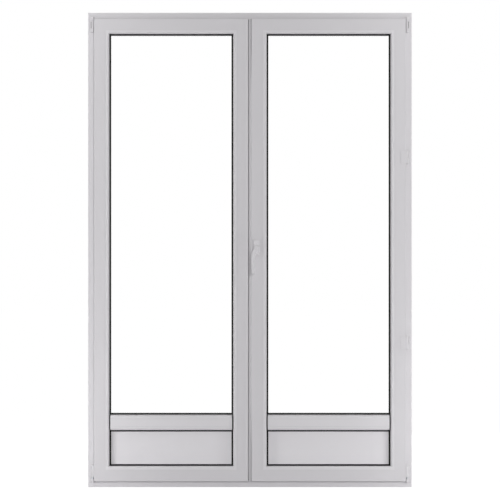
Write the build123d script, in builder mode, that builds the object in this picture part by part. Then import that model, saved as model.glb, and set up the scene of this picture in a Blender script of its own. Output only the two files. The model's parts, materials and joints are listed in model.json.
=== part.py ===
from build123d import *
import os
from math import acos, cos, pi, radians, sin, tan

os.makedirs("parts", exist_ok=True)

# Sizes are in millimetres. X runs to the right seen from the room, Y goes outdoors, Z is up.
# The origin is under the middle of the sill, halfway through the depth of the frame.

# Doorway and frame
door_width = 1500.0
door_height = 2200.0
frame_depth = 70.0
frame_reveal = 28.0  # frame face left showing around a closed leaf
lip_overlap = 5.0  # how far the lip of a leaf covers the frame face
rebate_clearance = 10.0  # open space between a leaf's edge and the frame
stop_rise = 18.0
stop_thickness = 13.0
wall = 3.0
web_setback = 15.0  # from the frame's room face to its first inner web
steel_chamber_depth = 29.0
steel_gauge = 1.5
steel_slot = 30.0
steel_end = 20.0  # from the end of a steel to the mitre's inner corner

# Leaves
sash_face = 70.0
bead_face = 17.0
sash_proud = 18.0  # leaf face in front of the frame face
lip_gap = 3.5
stop_gap = 3.0
leg_thickness = 12.0
lip_wall = 3.0
groove_setback = 13.0  # from the back of the lip to the middle of the hardware groove
seat_width = 16.0
seat_depth = 2.0
groove_width = 12.0
groove_depth = 8.0
groove_floor = 4.0
edge_round = 2.0
edge_bevel = 1.2
meeting_gap = 15.0

# Glazing
unit_thickness = 24.0
pane_thickness = 4.0
inner_gasket_thickness = 3.0
outer_gasket_thickness = 4.0
glass_bite = 12.0  # glass hidden behind the sight edge
spacer_width = 10.0
gasket_show = 8.0
outer_gasket_show = 3.0
gasket_tuck = 10.0
bead_nose = 14.0
bead_flat = 5.0
bead_round = 6.0
bead_joint = 0.2
packer_length = 90.0
packer_setback = 120.0  # from the corner of the glass to the middle of a packer
mid_rail_height = 300.5
mid_rail_body = 37.0
end_seal = 7.0
end_seal_setback = 2.0

# Seals
seal_width = 4.0
lip_seal_width = 3.0
seal_inset = 1.5
seal_end_gap = 1.0
seal_clearance = 0.3

# Hinges
hinge_inset = 21.0  # from the frame's outer edge to the hinge axis
knuckle_radius = 6.0
knuckle_off_frame = 1.0
knuckle_joint = 0.5
pin_radius = 3.0
pin_running = 0.08
pin_end = 1.0
bracket_thickness = 3.0
bracket_strip = 9.0
arm_thickness = 2.0
arm_reach = 18.0
top_hinge_drop = 21.0
top_hinge_lug = 19.0
top_hinge_knuckle = 33.0
bottom_bearing_rise = 22.0
bottom_bearing = 16.0
bottom_pin_show = 9.0
bottom_knuckle = 56.0
mid_hinge_heights = (670.0, 1529.0)
mid_hinge_half = 29.0
mid_plate_width = 24.0
mid_plate_thickness = 3.0
lip_running = 0.4

# Meeting of the two leaves
cap_overlap = 8.0  # how far the outdoor cap of the astragal covers each sash body
astragal_end_gap = 4.0
astragal_cap_thickness = 3.0
rib_width = 7.0  # a rib that stands in the gap between the leaves
rib_setback = 3.0
rib_wall = 2.0

# Espagnolette and handle, all placed from the spindle
handle_height = 1112.0
spindle_backset = 8.5
spindle_square = 7.0
gear_module = 1.5
gear_teeth = 16
gear_first = -5
gear_last = 1
pressure_angle = 20.0
addendum_share = 0.9
dedendum_share = 1.2
backlash = 0.4
gear_thickness = 8.0
gear_hub_radius = 6.2
hub_running = 0.08
rack_back = 3.2
rack_spare = 1.5
yoke_arm = 6.0
case_plate = 1.5
case_half = 60.0
case_reach = 26.0
pocket_clearance = 0.5
spindle_hole = 6.6
bar_thickness = 2.5
bar_width = 8.0
bar_running = 0.2
faceplate_end = 42.0
cam_count = 4
cam_end = 240.0  # from the end of the drive bar to its last cam
cam_radius = 4.0
cam_reach = 7.0
cam_running = 0.5
keep_plate = 2.0
keep_rim = 3.0
keep_rim_height = 6.5
keep_low = 14.0
keep_high = 28.0
keep_rim_half = 9.0
rosette_width = 28.0
rosette_height = 70.0
rosette_thickness = 10.0
rosette_corner = 6.0
neck_radius = 8.0
neck_running = 0.08
lever_stand = 45.0  # from the leaf face to the middle of the grip
lever_thickness = 12.0
lever_drop = 125.0
lever_width = 17.0
lever_crank = 16.5  # how far the grip bows toward the meeting of the leaves
lever_bow_share = 0.5  # of the drop, where the grip bows most
lever_taper = 2.5
lever_tip = 7.0
lever_tip_round = 5.0
lever_shoulder = 8.0
lever_boss_radius = 10.5
lever_bevel = 2.0

# Flush bolts of the left leaf
bolt_radius = 4.0
bolt_running = 0.08
bolt_throw = 18.0
bolt_travel = 18.0
bolt_length = 190.0
bolt_side = 8.5  # from the astragal's open face to the middle of the bolt
bolt_hole_clearance = 1.0
thumb_drop = 130.0
thumb_length = 24.0
thumb_width = 12.0
thumb_height = 4.0
thumb_neck = 6.0
slot_running = 0.3
strike_length = 40.0
strike_thickness = 2.0

# Wall fixings and drain caps
fixing_radius = 5.25
fixing_end = 220.0  # from the end of a jamb to its fixing
drain_width = 42.0
drain_height = 14.0
drain_thickness = 4.0
drain_rise = 15.0
drain_spread = 450.0
drain_wall = 1.2
drain_slot_length = 30.0
drain_slot_height = 5.0

# Depths, from the room to the outdoors
room_y = -frame_depth / 2
out_y = frame_depth / 2
stop_y = out_y - stop_thickness
sash_y = room_y - sash_proud
lip_back_y = room_y - lip_gap
sash_out_y = stop_y - stop_gap
leg_y = sash_out_y - leg_thickness
unit_out_y = leg_y - outer_gasket_thickness
unit_room_y = unit_out_y - unit_thickness
bead_heel_y = unit_room_y - inner_gasket_thickness
groove_y = lip_back_y + groove_setback
web_y = room_y + web_setback
steel_y = web_y + wall
steel_back_y = steel_y + steel_chamber_depth

# Widths across the bars
frame_rebate = frame_reveal + lip_overlap
frame_bar = frame_rebate + stop_rise
lip = lip_overlap + rebate_clearance
rebate_floor = sash_face - bead_face
glass_edge = sash_face - glass_bite
chamber_start = lip + groove_depth + groove_floor
half_width = door_width / 2
half_gap = meeting_gap / 2
leaf_top = door_height - frame_reveal
leaf_bottom = frame_reveal
mid_body = mid_rail_body / 2
mid_sight = mid_body + bead_face
mid_glass = mid_sight - glass_bite
hinge_x = half_width - hinge_inset
hinge_y = room_y - knuckle_off_frame - knuckle_radius
lip_edge_x = half_width - frame_reveal
body_edge_x = lip_edge_x - lip

# Heights of the hinges
top_hinge_top = door_height - top_hinge_drop
top_knuckle_top = top_hinge_top - top_hinge_lug
top_knuckle_bottom = top_knuckle_top - top_hinge_knuckle
top_hinge_bottom = top_knuckle_bottom - top_hinge_lug
bearing_top = bottom_bearing_rise + bottom_bearing
bottom_knuckle_bottom = bearing_top + bottom_pin_show
bottom_knuckle_top = bottom_knuckle_bottom + bottom_knuckle


def rect(a0, a1, b0, b1):
    return [(a0, b0), (a1, b0), (a1, b1), (a0, b1)]


def section(plane, outline, holes=(), rounds=(), bevels=()):
    """A face on the plane from corner points, with openings, and with some corners rounded or cut."""
    with BuildSketch(plane) as face:
        with BuildLine():
            Polyline(*outline, close=True)
        make_face()
        for hole in holes:
            with BuildLine():
                Polyline(*hole, close=True)
            make_face(mode=Mode.SUBTRACT)
        for corner, radius in rounds:
            near = face.vertices().sort_by_distance(Vector(corner[0], corner[1], 0))
            fillet(near[0], radius=radius)
        for corner in bevels:
            near = face.vertices().sort_by_distance(Vector(corner[0], corner[1], 0))
            chamfer(near[0], length=edge_bevel)
    return face.sketch


def facing(y):
    """The plane at depth y that looks into the room, with X to the right and Z up."""
    return Plane(origin=(0, y, 0), x_dir=(1, 0, 0), z_dir=(0, -1, 0))


def slab(y_room, y_out, outline, holes=(), rounds=()):
    """A plate with a front outline, between two depths."""
    with BuildPart() as plate:
        extrude(section(facing(y_out), outline, holes, rounds), amount=y_out - y_room)
    return plate.part


def post(z_low, z_high, outline, holes=(), rounds=()):
    """A length with a plan outline, between two heights."""
    with BuildPart() as length:
        extrude(section(Plane.XY.offset(z_low), outline, holes, rounds), amount=z_high - z_low)
    return length.part


def block(x0, x1, y0, y1, z0, z1):
    return post(z0, z1, rect(x0, x1, y0, y1))


def upright(x, y, z_low, z_high, radius):
    """A round rod standing at x, y."""
    with BuildPart() as rod:
        with BuildSketch(Plane(origin=(x, y, z_low))):
            with Locations((0, 0)):
                Circle(radius)
        extrude(amount=z_high - z_low)
    return rod.part


def level(x, z, y_room, y_out, radius):
    """A round rod along Y."""
    with BuildPart() as rod:
        with BuildSketch(Plane(origin=(x, y_out, z), x_dir=(1, 0, 0), z_dir=(0, -1, 0))):
            Circle(radius)
        extrude(amount=y_out - y_room)
    return rod.part


def crossing(y, z, x0, x1, radius):
    """A round rod along X."""
    with BuildPart() as rod:
        with BuildSketch(Plane(origin=(x0, y, z), x_dir=(0, 1, 0), z_dir=(1, 0, 0))):
            Circle(radius)
        extrude(amount=x1 - x0)
    return rod.part


# Each bar of a rectangle of bars: the way inward across it and the way along it.
bar_ways = {
    "left": ((1, 0, 0), (0, 0, 1)),
    "right": ((-1, 0, 0), (0, 0, -1)),
    "bottom": ((0, 0, 1), (-1, 0, 0)),
    "top": ((0, 0, -1), (1, 0, 0)),
}


def bar_plane(side, ring):
    """The plane across the middle of a bar, with x inward and y outdoors."""
    x0, x1, z0, z1 = ring
    middles = {
        "left": (x0, 0, (z0 + z1) / 2),
        "right": (x1, 0, (z0 + z1) / 2),
        "bottom": ((x0 + x1) / 2, 0, z0),
        "top": ((x0 + x1) / 2, 0, z1),
    }
    inward, along = bar_ways[side]
    return Plane(origin=middles[side], x_dir=inward, z_dir=along)


def bar_length(side, ring):
    x0, x1, z0, z1 = ring
    return z1 - z0 if side in ("left", "right") else x1 - x0


def mitre_outline(side, ring, width, joint):
    """The front outline of a bar that is cut at 45 degrees at both ends."""
    x0, x1, z0, z1 = ring
    if side in ("left", "right"):
        edge, inner = (x0, x0 + width) if side == "left" else (x1, x1 - width)
        low, high = z0 + joint, z1 - joint
        return [(edge, low), (inner, low + width), (inner, high - width), (edge, high)]
    edge, inner = (z0, z0 + width) if side == "bottom" else (z1, z1 - width)
    low, high = x0 + joint, x1 - joint
    return [(low, edge), (low + width, inner), (high - width, inner), (high, edge)]


def mitred_bar(side, ring, width, outline, holes=(), rounds=(), bevels=(), joint=0.0):
    """A hollow bar of one section, mitred at both ends."""
    profile = section(bar_plane(side, ring), outline, holes, rounds, bevels)
    front = section(Plane.XZ, mitre_outline(side, ring, width, joint))
    with BuildPart() as bar:
        extrude(profile, amount=bar_length(side, ring) / 2, both=True)
        extrude(front, amount=frame_depth, both=True, mode=Mode.INTERSECT)
    return bar.part


def straight_bar(side, ring, end, outline):
    """A square-ended bar that stops short of the corners of its rectangle."""
    profile = section(bar_plane(side, ring), outline)
    with BuildPart() as bar:
        extrude(profile, amount=bar_length(side, ring) / 2 - end, both=True)
    return bar.part


def loop(ring, inset, width):
    """Outline and opening of a flat ring inside a rectangle."""
    x0, x1, z0, z1 = ring
    outer = rect(x0 + inset, x1 - inset, z0 + inset, z1 - inset)
    edge = inset + width
    inner = rect(x0 + edge, x1 - edge, z0 + edge, z1 - edge)
    return outer, inner


def finish(builder, name):
    builder.part.label = name
    export_step(builder.part, f"parts/{name}.step")


# Frame: four mitred hollow bars
frame_ring = (-half_width, half_width, 0, door_height)
frame_outline = [
    (0, room_y),
    (frame_rebate, room_y),
    (frame_rebate, stop_y),
    (frame_bar, stop_y),
    (frame_bar, out_y),
    (0, out_y),
]
frame_inside = frame_rebate - wall
frame_chambers = [
    rect(wall, frame_inside, room_y + wall, web_y),
    rect(wall, frame_inside, steel_y, steel_back_y),
    rect(wall, frame_inside, steel_back_y + wall, out_y - wall),
    rect(frame_rebate + wall, frame_bar - wall, stop_y + wall, out_y - wall),
]
frame_rounds = [((frame_rebate, room_y), edge_round)]
frame_bevels = [(frame_bar, stop_y), (frame_bar, out_y)]
chamber_y = (steel_y + steel_back_y) / 2
fixing_heights = (fixing_end, door_height - fixing_end)
bolt_x = half_gap + lip_overlap - bolt_side
bolt_hole = bolt_radius + bolt_hole_clearance
frame_sides = {"left_jamb": "left", "right_jamb": "right", "head": "top", "sill": "bottom"}


def fixing_hole(height):
    return crossing(chamber_y, height, -half_width, half_width, fixing_radius)


def bolt_slot(low, depth):
    """The square slot that a flush bolt enters."""
    y_room, y_out = chamber_y - bolt_hole, chamber_y + bolt_hole
    return block(bolt_x - bolt_hole, bolt_x + bolt_hole, y_room, y_out, low, low + depth)


for name, side in frame_sides.items():
    with BuildPart() as frame_member:
        add(
            mitred_bar(
                side,
                frame_ring,
                frame_bar,
                frame_outline,
                frame_chambers,
                frame_rounds,
                frame_bevels,
            )
        )
        if side in ("left", "right"):
            for height in fixing_heights:
                add(fixing_hole(height), mode=Mode.SUBTRACT)
        else:
            hole_z = door_height - frame_rebate if side == "top" else frame_inside
            add(bolt_slot(hole_z, wall), mode=Mode.SUBTRACT)
        if side == "bottom":
            for middle in (-drain_spread, drain_spread):
                add(
                    block(
                        middle - drain_slot_length / 2,
                        middle + drain_slot_length / 2,
                        out_y - wall,
                        out_y,
                        drain_rise - drain_slot_height / 2,
                        drain_rise + drain_slot_height / 2,
                    ),
                    mode=Mode.SUBTRACT,
                )
    finish(frame_member, name)


def channel(a0, a1, b0, b1):
    """The section of a folded steel channel that opens toward a1."""
    return [
        (a0, b0),
        (a1, b0),
        (a1, b0 + steel_gauge),
        (a0 + steel_gauge, b0 + steel_gauge),
        (a0 + steel_gauge, b1 - steel_gauge),
        (a1, b1 - steel_gauge),
        (a1, b1),
        (a0, b1),
    ]


with BuildPart() as frame_steels:
    for side in bar_ways:
        steel = channel(wall, frame_inside, steel_y, steel_back_y)
        add(straight_bar(side, frame_ring, frame_bar + steel_end, steel))
    for height in fixing_heights:
        # Punched slots that the wall fixings pass through
        add(
            block(
                -half_width,
                half_width,
                chamber_y - fixing_radius,
                chamber_y + fixing_radius,
                height - steel_slot / 2,
                height + steel_slot / 2,
            ),
            mode=Mode.SUBTRACT,
        )
finish(frame_steels, "frame_steels")

with BuildPart() as stop_seal:
    outer, inner = loop(frame_ring, frame_rebate + rebate_clearance + seal_inset, seal_width)
    add(slab(sash_out_y + seal_clearance, stop_y, outer, [inner]))
finish(stop_seal, "stop_seal")

with BuildPart() as bolt_strikes:
    for low in (frame_rebate, door_height - frame_rebate - strike_thickness):
        half = strike_length / 2
        add(
            block(
                bolt_x - half,
                bolt_x + half,
                chamber_y - thumb_width,
                chamber_y + thumb_width,
                low,
                low + strike_thickness,
            )
        )
        add(bolt_slot(low, strike_thickness), mode=Mode.SUBTRACT)
finish(bolt_strikes, "bolt_strikes")

# Drain caps: hoods over the slots in the sill, open at the bottom
with BuildPart() as drain_caps:
    cap_half = drain_width / 2
    cap_foot, cap_brow = drain_rise - drain_height / 2, drain_rise + drain_height / 2
    for middle in (-drain_spread, drain_spread):
        hood = rect(middle - cap_half, middle + cap_half, cap_foot, cap_brow)
        add(slab(out_y, out_y + drain_thickness, hood))
    chamfer(drain_caps.edges().group_by(Axis.Y)[-1], length=edge_bevel)
    for middle in (-drain_spread, drain_spread):
        add(
            block(
                middle - cap_half + drain_wall,
                middle + cap_half - drain_wall,
                out_y,
                out_y + drain_thickness - drain_wall,
                cap_foot,
                cap_brow - drain_wall,
            ),
            mode=Mode.SUBTRACT,
        )
finish(drain_caps, "drain_caps")

# Hinges. On the frame: a strip with lugs. On the leaf: a knuckle with an arm that passes behind the lip.
strip_x = hinge_x + knuckle_radius + knuckle_off_frame
strip_edge_x = strip_x + bracket_strip
arm_heights = [
    (top_knuckle_bottom + knuckle_joint, top_knuckle_top - knuckle_joint),
    (bottom_knuckle_bottom, bottom_knuckle_top),
]


def hinge_rod(turn, low, high, radius):
    """A round rod on the hinge axis of one leaf."""
    return upright(turn * hinge_x, hinge_y, low, high, radius)


def hinge_strip(turn, low, high):
    """The flat of a bracket, on the frame's face."""
    return block(turn * strip_x, turn * strip_edge_x, room_y - bracket_thickness, room_y, low, high)


def hinge_lug(turn, low, high):
    """A lug of a bracket: round in front, square where it sits on the frame, and joined to its flat."""
    with BuildPart() as lug:
        add(hinge_rod(turn, low, high, knuckle_radius))
        inner_x, outer_x = hinge_x - knuckle_radius, hinge_x + knuckle_radius
        add(block(turn * inner_x, turn * outer_x, hinge_y, room_y, low, high))
        add(block(turn * hinge_x, turn * strip_x, room_y - bracket_thickness, room_y, low, high))
    return lug.part


for side, turn in (("left", -1), ("right", 1)):
    with BuildPart() as hinge_brackets:
        # The top bracket and the bottom bearing are cast in one with their pins
        add(hinge_strip(turn, top_hinge_bottom, top_hinge_top))
        add(hinge_lug(turn, top_hinge_bottom, top_knuckle_bottom))
        add(hinge_lug(turn, top_knuckle_top, top_hinge_top))
        add(hinge_rod(turn, top_knuckle_bottom, top_knuckle_top, pin_radius))
        add(hinge_strip(turn, bottom_bearing_rise, bearing_top))
        add(hinge_lug(turn, bottom_bearing_rise, bearing_top))
        add(hinge_rod(turn, bearing_top, bottom_knuckle_top - pin_end, pin_radius))
        if side == "right":
            for middle in mid_hinge_heights:
                low = middle - mid_hinge_half
                add(hinge_strip(turn, low, middle + mid_hinge_half))
                add(hinge_lug(turn, low, middle - knuckle_joint))
                add(hinge_rod(turn, low, middle - knuckle_joint, pin_radius), mode=Mode.SUBTRACT)
    finish(hinge_brackets, f"{side}_hinge_brackets")

    arm_outline = [
        (turn * hinge_x, lip_back_y),
        (turn * body_edge_x, lip_back_y),
        (turn * body_edge_x, lip_back_y + arm_reach),
        (turn * (body_edge_x + arm_thickness), lip_back_y + arm_reach),
        (turn * (body_edge_x + arm_thickness), lip_back_y + arm_thickness),
        (turn * hinge_x, lip_back_y + arm_thickness),
    ]
    with BuildPart() as hinge_arms:
        for low, high in arm_heights:
            add(post(low, high, arm_outline))
            add(hinge_rod(turn, low, high, knuckle_radius))
            add(hinge_rod(turn, low, high, pin_radius + pin_running), mode=Mode.SUBTRACT)
    finish(hinge_arms, f"{side}_hinge_arms")

# Loose pins of the two middle hinges
with BuildPart() as hinge_pins:
    pin_half = mid_hinge_half - pin_end
    for middle in mid_hinge_heights:
        add(hinge_rod(1, middle - pin_half, middle + pin_half, pin_radius))
finish(hinge_pins, "hinge_pins")

with BuildPart() as right_mid_hinges:
    plate_y = sash_y - mid_plate_thickness
    for middle in mid_hinge_heights:
        low, high = middle + knuckle_joint, middle + mid_hinge_half
        add(block(lip_edge_x - mid_plate_width, hinge_x, plate_y, sash_y, middle - mid_hinge_half, high))
        add(block(lip_edge_x + lip_running, hinge_x, plate_y, hinge_y, low, high))
        add(hinge_rod(1, low, high, knuckle_radius))
        add(hinge_rod(1, low, high, pin_radius + pin_running), mode=Mode.SUBTRACT)
finish(right_mid_hinges, "right_mid_hinges")

# Leaves: the same bars, glazing and seals on both sides
rings = {
    "left": (-lip_edge_x, -half_gap, leaf_bottom, leaf_top),
    "right": (half_gap, lip_edge_x, leaf_bottom, leaf_top),
}
seat_low, seat_high = groove_y - seat_width / 2, groove_y + seat_width / 2
groove_low, groove_high = groove_y - groove_width / 2, groove_y + groove_width / 2
groove_in = lip + groove_depth
seat_in = lip + seat_depth
sash_outline = [
    (0, sash_y),
    (rebate_floor, sash_y),
    (rebate_floor, leg_y),
    (sash_face, leg_y),
    (sash_face, sash_out_y),
    (lip, sash_out_y),
    (lip, seat_high),
    (seat_in, seat_high),
    (seat_in, groove_high),
    (groove_in, groove_high),
    (groove_in, groove_low),
    (seat_in, groove_low),
    (seat_in, seat_low),
    (lip, seat_low),
    (lip, lip_back_y),
    (0, lip_back_y),
]
chamber_in = rebate_floor - wall
sash_chambers = [
    rect(lip_wall, chamber_in, sash_y + wall, lip_back_y - wall),
    rect(chamber_start, chamber_in, lip_back_y, leg_y - wall),
    rect(lip + wall, chamber_start - wall, seat_high + wall, leg_y - wall),
    rect(lip + wall, chamber_in, leg_y, sash_out_y - wall),
    rect(rebate_floor, sash_face - wall, leg_y + wall, sash_out_y - wall),
]
sash_rounds = [((0, sash_y), edge_round)]
sash_bevels = [(sash_face, sash_out_y)]
nose_y = bead_heel_y - bead_nose
bead_outline = [
    (rebate_floor, bead_heel_y),
    (rebate_floor, sash_y),
    (rebate_floor + bead_flat, sash_y),
    (sash_face, nose_y),
    (sash_face, bead_heel_y),
]
bead_rounds = [((rebate_floor + bead_flat, sash_y), bead_round), ((sash_face, nose_y), bead_round)]
spindle_x = half_gap + lip + spindle_backset
case_x = half_gap + seat_in
case_back_x = case_x + case_reach


def across(x_middle, z, up):
    """The plane across a rail at height z, with x up or down and y outdoors."""
    return Plane(origin=(x_middle, 0, z), x_dir=(0, 0, up), z_dir=(-up, 0, 0))


def case_space(clearance):
    """The room that the gearbox takes in the right meeting stile, with the hole for the spindle."""
    with BuildPart() as space:
        add(
            block(
                case_x,
                case_back_x + clearance,
                groove_low,
                groove_high,
                handle_height - case_half - clearance,
                handle_height + case_half + clearance,
            )
        )
        add(level(spindle_x, handle_height, sash_y, groove_y, spindle_hole))
    return space.part


for side, turn in (("left", -1), ("right", 1)):
    ring = rings[side]
    x0, x1, z0, z1 = ring
    x_middle = (x0 + x1) / 2
    half_span = (x1 - x0) / 2
    meeting_bar = "right" if side == "left" else "left"
    bars = {"hinge_stile": side, "meeting_stile": meeting_bar, "top_rail": "top", "bottom_rail": "bottom"}

    for name, bar in bars.items():
        with BuildPart() as sash_member:
            add(mitred_bar(bar, ring, sash_face, sash_outline, sash_chambers, sash_rounds, sash_bevels))
            if side == "right" and name == "meeting_stile":
                add(case_space(pocket_clearance), mode=Mode.SUBTRACT)
        finish(sash_member, f"{side}_{name}")

    with BuildPart() as sash_steels:
        for bar in bar_ways:
            steel = channel(chamber_start, chamber_in, lip_back_y, leg_y - wall)
            add(straight_bar(bar, ring, sash_face + steel_end, steel))
        if side == "right":
            add(case_space(pocket_clearance), mode=Mode.SUBTRACT)
    finish(sash_steels, f"{side}_steels")

    with BuildPart() as mid_rail:
        rail = [
            (-mid_body, sash_y),
            (mid_body, sash_y),
            (mid_body, leg_y),
            (mid_sight, leg_y),
            (mid_sight, sash_out_y),
            (-mid_sight, sash_out_y),
            (-mid_sight, leg_y),
            (-mid_body, leg_y),
        ]
        hollows = [
            rect(wall - mid_body, mid_body - wall, sash_y + wall, leg_y - wall),
            rect(wall - mid_sight, mid_sight - wall, leg_y + wall, sash_out_y - wall),
        ]
        extrude(
            section(across(x_middle, mid_rail_height, 1), rail, hollows),
            amount=half_span - rebate_floor,
            both=True,
        )
        low, high = mid_rail_height - mid_sight, mid_rail_height + mid_sight
        face_end = sash_face + end_seal
        for end, into in ((x0, 1), (x1, -1)):
            add(block(end, end + into * face_end, sash_y, bead_heel_y, low, high), mode=Mode.SUBTRACT)
            add(block(end, end + into * sash_face, leg_y, sash_out_y, low, high), mode=Mode.SUBTRACT)
    finish(mid_rail, f"{side}_mid_rail")

    with BuildPart() as end_seals:
        seal_y = sash_y + end_seal_setback
        seal_outline = [
            (-mid_sight, bead_heel_y),
            (-mid_sight, nose_y + end_seal_setback),
            (-mid_body - bead_flat, seal_y),
            (mid_body + bead_flat, seal_y),
            (mid_sight, nose_y + end_seal_setback),
            (mid_sight, bead_heel_y),
        ]
        for middle in (x0 + sash_face + end_seal / 2, x1 - sash_face - end_seal / 2):
            seal_face = section(across(middle, mid_rail_height, 1), seal_outline)
            extrude(seal_face, amount=end_seal / 2, both=True)
    finish(end_seals, f"{side}_mid_rail_end_seals")

    with BuildPart() as beads:
        for bar in bar_ways:
            add(mitred_bar(bar, ring, sash_face, bead_outline, rounds=bead_rounds, joint=bead_joint))
        for up in (-1, 1):
            bead_plane = across(x_middle, mid_rail_height + up * (mid_body - rebate_floor), up)
            extrude(
                section(bead_plane, bead_outline, rounds=bead_rounds),
                amount=half_span - face_end,
                both=True,
            )
    finish(beads, f"{side}_beads")

    # Openings for the glass and for the panel, inside the sight edges
    sights = [
        (x0 + sash_face, x1 - sash_face, mid_rail_height + mid_sight, z1 - sash_face),
        (x0 + sash_face, x1 - sash_face, z0 + sash_face, mid_rail_height - mid_sight),
    ]
    with BuildPart() as inner_gaskets:
        for sight in sights:
            outer, inner = loop(sight, -gasket_tuck, gasket_tuck + gasket_show)
            add(slab(bead_heel_y, unit_room_y, outer, [inner]))
    finish(inner_gaskets, f"{side}_inner_gaskets")

    with BuildPart() as outer_gaskets:
        for sight in sights:
            outer, inner = loop(sight, -glass_bite, glass_bite + outer_gasket_show)
            add(slab(unit_out_y, leg_y, outer, [inner]))
    finish(outer_gaskets, f"{side}_outer_gaskets")

    glass_outline, spacer_inner = loop(sights[0], -glass_bite, spacer_width)
    panel_outline = loop(sights[1], -glass_bite, spacer_width)[0]
    with BuildPart() as glass_panes:
        add(slab(unit_room_y, unit_room_y + pane_thickness, glass_outline))
        add(slab(unit_out_y - pane_thickness, unit_out_y, glass_outline))
    finish(glass_panes, f"{side}_glass_panes")

    with BuildPart() as glass_spacer:
        add(slab(unit_room_y + pane_thickness, unit_out_y - pane_thickness, glass_outline, [spacer_inner]))
    finish(glass_spacer, f"{side}_glass_spacer")

    with BuildPart() as panel:
        add(slab(unit_room_y, unit_out_y, panel_outline))
    finish(panel, f"{side}_panel")

    with BuildPart() as packers:
        bite = sash_face - rebate_floor - glass_bite
        packed = [
            (mid_rail_height + mid_body, mid_rail_height + mid_glass),
            (z1 - glass_edge, z1 - rebate_floor),
            (z0 + rebate_floor, z0 + glass_edge),
            (mid_rail_height - mid_glass, mid_rail_height - mid_body),
        ]
        half = packer_length / 2
        corner = glass_edge + packer_setback
        for middle in (x0 + corner, x1 - corner):
            for low, high in packed:
                add(block(middle - half, middle + half, unit_room_y, unit_out_y, low, high))
        for middle in (mid_rail_height + mid_glass + packer_setback, z1 - corner):
            for start in (x0 + rebate_floor, x1 - glass_edge):
                add(block(start, start + bite, unit_room_y, unit_out_y, middle - half, middle + half))
    finish(packers, f"{side}_glazing_packers")

    with BuildPart() as lip_seal:
        outer, inner = loop(ring, seal_inset, lip_seal_width)
        add(slab(lip_back_y, room_y - seal_clearance, outer, [inner]))
        for low, high in arm_heights:
            add(
                block(
                    turn * body_edge_x,
                    turn * lip_edge_x,
                    lip_back_y,
                    room_y,
                    low - seal_end_gap,
                    high + seal_end_gap,
                ),
                mode=Mode.SUBTRACT,
            )
    finish(lip_seal, f"{side}_lip_seal")

# Astragal on the left leaf: a hollow bar that closes the meeting, with a cap outdoors
astragal_x0 = -half_gap - lip
astragal_x1 = half_gap + lip_overlap
cap_edge = half_gap + lip + cap_overlap
body_low = frame_rebate + astragal_end_gap
body_high = door_height - body_low
cap_low = frame_bar + astragal_end_gap
cap_high = door_height - cap_low
web = chamber_y - wall - bolt_radius - bolt_hole_clearance
rib_half = rib_width / 2
rib_y = sash_y + rib_setback
astragal_body = [
    (astragal_x0, room_y),
    (-rib_half, room_y),
    (-rib_half, rib_y),
    (rib_half, rib_y),
    (rib_half, room_y),
    (astragal_x1, room_y),
    (astragal_x1, sash_out_y),
    (astragal_x0, sash_out_y),
]
astragal_cap = [
    (-cap_edge, sash_out_y),
    (astragal_x1, sash_out_y),
    (astragal_x1, stop_y),
    (cap_edge, stop_y),
    (cap_edge, out_y),
    (-cap_edge, out_y),
]
top_thumb = body_high - thumb_drop
bottom_thumb = body_low + thumb_drop

with BuildPart() as astragal:
    hollows = [
        rect(astragal_x0 + wall, astragal_x1 - wall, room_y + wall, web - wall),
        rect(astragal_x0 + wall, astragal_x1 - wall, web, sash_out_y - wall),
        rect(rib_wall - rib_half, rib_half - rib_wall, rib_y + rib_wall, room_y),
    ]
    end = astragal_cap_thickness
    add(post(body_low + end, body_high - end, astragal_body, hollows))
    cap_hollow = rect(wall - cap_edge, cap_edge - wall, stop_y + wall, out_y - wall)
    add(post(cap_low + end, cap_high - end, astragal_cap, [cap_hollow]))
    neck = thumb_neck + slot_running
    for low, high in ((top_thumb - bolt_travel, top_thumb), (bottom_thumb, bottom_thumb + bolt_travel)):
        add(
            block(
                astragal_x1 - wall,
                astragal_x1,
                chamber_y - neck / 2,
                chamber_y + neck / 2,
                low - neck,
                high + neck,
            ),
            mode=Mode.SUBTRACT,
        )
finish(astragal, "left_astragal")

with BuildPart() as astragal_caps:
    for low in (body_low, body_high - astragal_cap_thickness):
        add(post(low, low + astragal_cap_thickness, astragal_body))
        hole = bolt_radius + bolt_running
        add(upright(bolt_x, chamber_y, low, low + astragal_cap_thickness, hole), mode=Mode.SUBTRACT)
    for low in (cap_low, cap_high - astragal_cap_thickness):
        add(post(low, low + astragal_cap_thickness, astragal_cap))
finish(astragal_caps, "left_astragal_caps")

with BuildPart() as astragal_seal:
    start = half_gap + lip + seal_inset
    low, high = cap_low + astragal_cap_thickness, cap_high - astragal_cap_thickness
    add(block(start, start + seal_width, sash_out_y + seal_clearance, stop_y, low, high))
finish(astragal_seal, "left_astragal_seal")

plate_low, plate_high = leaf_bottom + faceplate_end, leaf_top - faceplate_end
bar_low, bar_high = plate_low + faceplate_end, plate_high - faceplate_end
cam_step = (bar_high - bar_low - 2 * cam_end) / (cam_count - 1)
cam_heights = [bar_low + cam_end + cam_step * cam for cam in range(cam_count)]
with BuildPart() as cam_keeps:
    rim_y = groove_y - cam_radius - cam_running
    for height in cam_heights:
        add(
            block(
                astragal_x1,
                astragal_x1 + keep_plate,
                rim_y - keep_rim,
                groove_y + cam_radius,
                height - keep_low,
                height + keep_high,
            )
        )
        add(
            block(
                astragal_x1,
                astragal_x1 + keep_plate + keep_rim_height,
                rim_y - keep_rim,
                rim_y,
                height - keep_rim_half,
                height + keep_rim_half,
            )
        )
finish(cam_keeps, "left_cam_keeps")

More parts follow.
